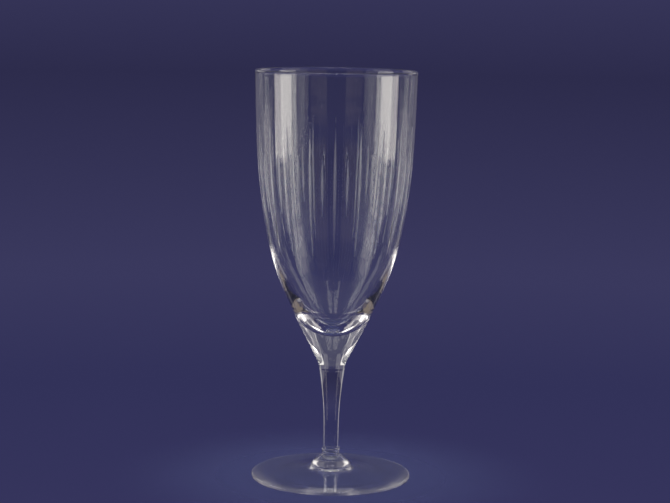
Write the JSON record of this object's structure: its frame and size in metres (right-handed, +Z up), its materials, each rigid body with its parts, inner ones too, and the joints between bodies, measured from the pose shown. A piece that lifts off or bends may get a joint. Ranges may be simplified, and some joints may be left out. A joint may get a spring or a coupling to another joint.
{
  "type": "stemmed beer glass",
  "caption": "Clear stemmed beer glass: slender egg-shaped bowl on a heavy base, a drawn stem, a beaded collar and a round foot, for serving beer.",
  "frame": {"origin": "centre of the flat ring that the foot stands on, at table level", "axes": "+Z up along the glass's axis, +X to the right and +Y away from the viewer of the picture"},
  "size_m": [0.0706, 0.0706, 0.18],
  "materials": {
    "foot_glass": "clear, fire-polished",
    "collar_glass": "clear, fire-polished",
    "stem_glass": "clear, fire-polished",
    "bowl_glass": "clear, fire-polished, with a band of fine frosted cuts"
  },
  "bodies": {
    "root": {"foot": "foot_glass", "collar": "collar_glass", "stem": "stem_glass", "bowl": "bowl_glass"}
  },
  "joints": []
}
